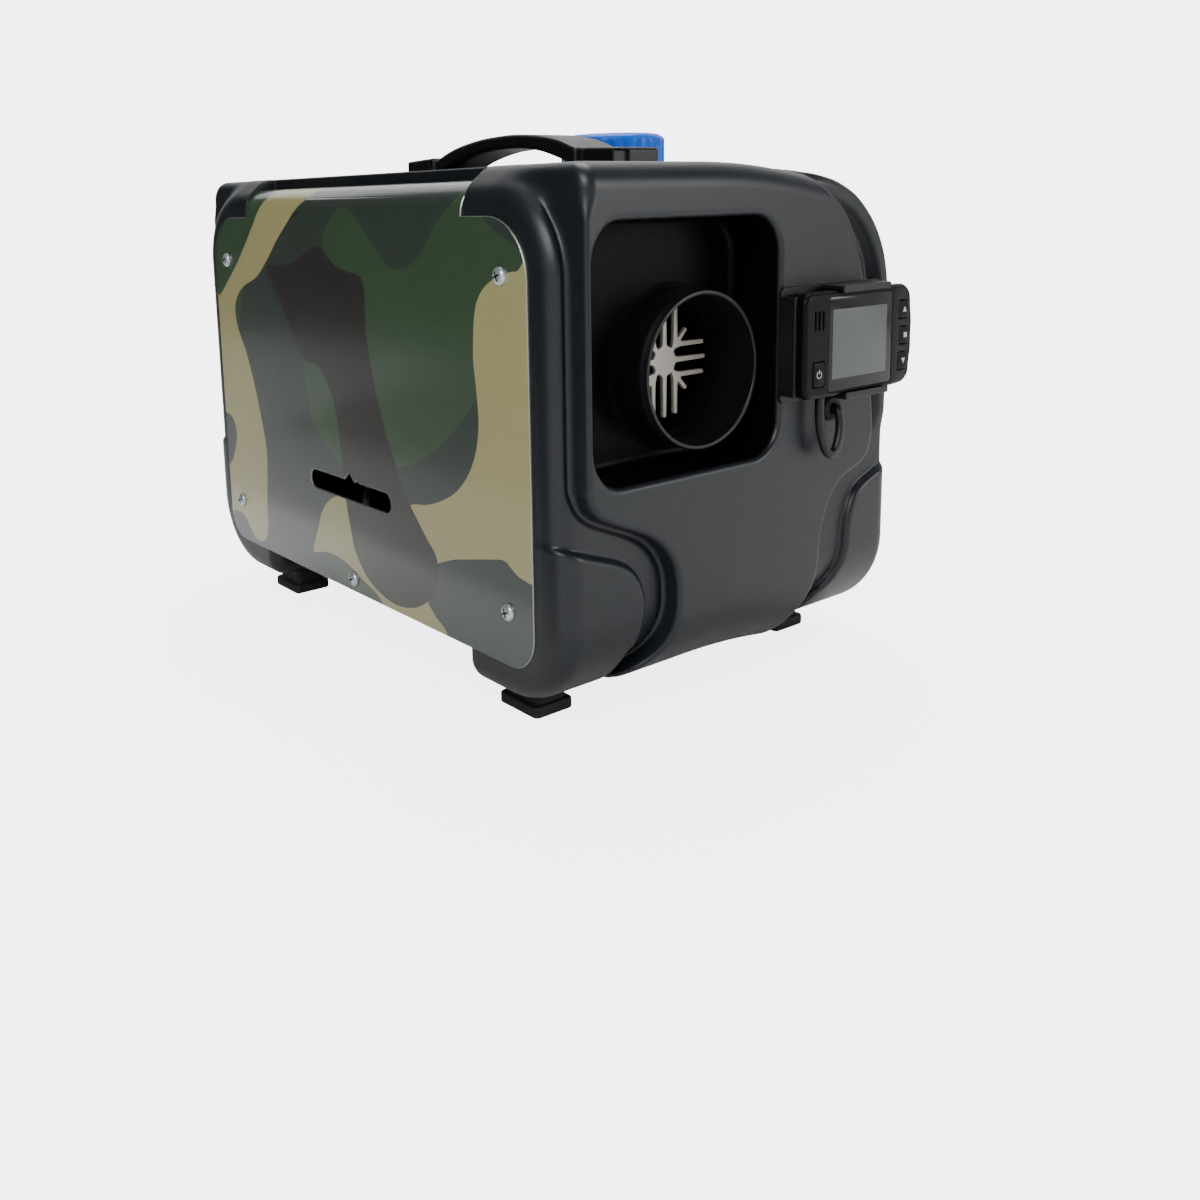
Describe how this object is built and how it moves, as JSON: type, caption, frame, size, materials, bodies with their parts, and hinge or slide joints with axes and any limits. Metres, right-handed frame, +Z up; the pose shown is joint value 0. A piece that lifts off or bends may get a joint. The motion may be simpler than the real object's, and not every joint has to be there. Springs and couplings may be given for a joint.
{
  "type": "portable diesel air heater",
  "caption": "All-in-one diesel air heater: charcoal moulded housing, camouflage steel side panel, blue fuel cap, carrying handle, finned warm air outlet and a wired controller.",
  "frame": {"origin": "on the floor under the middle of the housing", "axes": "+X towards the warm air outlet end, -Y towards the side panel, +Z up"},
  "size_m": [0.4036, 0.2402, 0.2833],
  "materials": {
    "housing": "moulded charcoal plastic, fine grain",
    "panel_paint": "satin camouflage paint on sheet steel",
    "zinc": "zinc plated",
    "rubber": "black rubber",
    "tank": "natural polyethylene",
    "strainer": "woven steel mesh and rim",
    "cap": "blue moulded plastic",
    "handle": "black moulded plastic",
    "casing": "glass filled plastic",
    "cast": "die cast aluminium",
    "steel": "plain steel",
    "board": "green circuit board",
    "fan": "moulded fan plastic",
    "line": "clear nylon fuel line",
    "controller": "black moulded plastic",
    "glass": "dark display window",
    "display": "grey liquid crystal display",
    "brass": "plain brass"
  },
  "bodies": {
    "body": {"housing_shell": "housing", "side_panel": "panel_paint", "panel_screw_1": "zinc", "panel_screw_2": "zinc", "panel_screw_3": "zinc", "panel_screw_4": "zinc", "panel_screw_5": "zinc", "handle_screw_front": "zinc", "handle_screw_rear": "zinc", "foot_front_near": "rubber", "foot_front_far": "rubber", "foot_rear_near": "rubber", "foot_rear_far": "rubber", "pump_clamp": "rubber", "stand_gasket": "rubber", "intake_pipe": "rubber", "controller_lead": "rubber", "lead_grommet": "rubber", "fuel_tank": "tank", "filler_strainer": "strainer", "fuel_filter": "strainer", "carry_handle": "handle", "handle_end_front": "handle", "handle_end_rear": "handle", "lower_case": "casing", "upper_case": "casing", "outlet_collar": "casing", "inlet_grille": "casing", "power_inlet": "casing", "heat_exchanger": "cast", "blower_housing": "cast", "burner_tube": "steel", "fan_motor": "steel", "heater_stand": "steel", "exhaust_pipe": "steel", "fuel_pump": "steel", "control_board": "board", "controller_board": "board", "suction_line": "line", "middle_line": "line", "delivery_line": "line", "controller_cradle": "controller", "controller_rear": "controller", "controller_front": "controller", "controller_glass": "glass", "controller_display": "display", "glow_plug": "brass", "overheat_sensor": "brass", "tank_outlet": "brass"},
    "rotor": {"motor_shaft": "steel", "heating_fan": "fan", "combustion_impeller": "fan"},
    "cap_seal": {"cap_gasket": "rubber"},
    "cap": {"fuel_cap": "cap"},
    "plunger": {"pump_plunger": "steel"},
    "up_key": {"up_button": "rubber"},
    "menu_key": {"menu_button": "rubber"},
    "down_key": {"down_button": "rubber"},
    "power_key": {"power_button": "rubber"}
  },
  "joints": [
    {"name": "fan_spin", "type": "hinge", "parent": "body", "child": "rotor", "pos_m": [0, -0.0255, 0.166], "axis": [1, 0, 0], "continuous": true},
    {"name": "cap_lift", "type": "slide", "parent": "body", "child": "cap_seal", "axis": [0, 0, 1], "range_m": [0, 0.0125]},
    {"name": "cap_turn", "type": "hinge", "parent": "cap_seal", "child": "cap", "pos_m": [0.025, 0.056, 0.27], "axis": [0, 0, 1], "range_deg": [0, 901]},
    {"name": "plunger_stroke", "type": "slide", "parent": "body", "child": "plunger", "axis": [1, 0, 0], "range_m": [-0.0015, 0.0015], "stiffness_N_per_m": 300},
    {"name": "up_press", "type": "slide", "parent": "body", "child": "up_key", "axis": [-1, 0, 0], "range_m": [0, 0.0004], "stiffness_N_per_m": 400, "springref_m": -0.0002},
    {"name": "menu_press", "type": "slide", "parent": "body", "child": "menu_key", "axis": [-1, 0, 0], "range_m": [0, 0.0004], "stiffness_N_per_m": 400, "springref_m": -0.0002},
    {"name": "down_press", "type": "slide", "parent": "body", "child": "down_key", "axis": [-1, 0, 0], "range_m": [0, 0.0004], "stiffness_N_per_m": 400, "springref_m": -0.0002},
    {"name": "power_press", "type": "slide", "parent": "body", "child": "power_key", "axis": [-1, 0, 0], "range_m": [0, 0.0004], "stiffness_N_per_m": 400, "springref_m": -0.0002}
  ],
  "couplings": [
    {"joint": "cap_turn", "follows": "cap_lift", "rad_per_m": 1256.6}
  ]
}
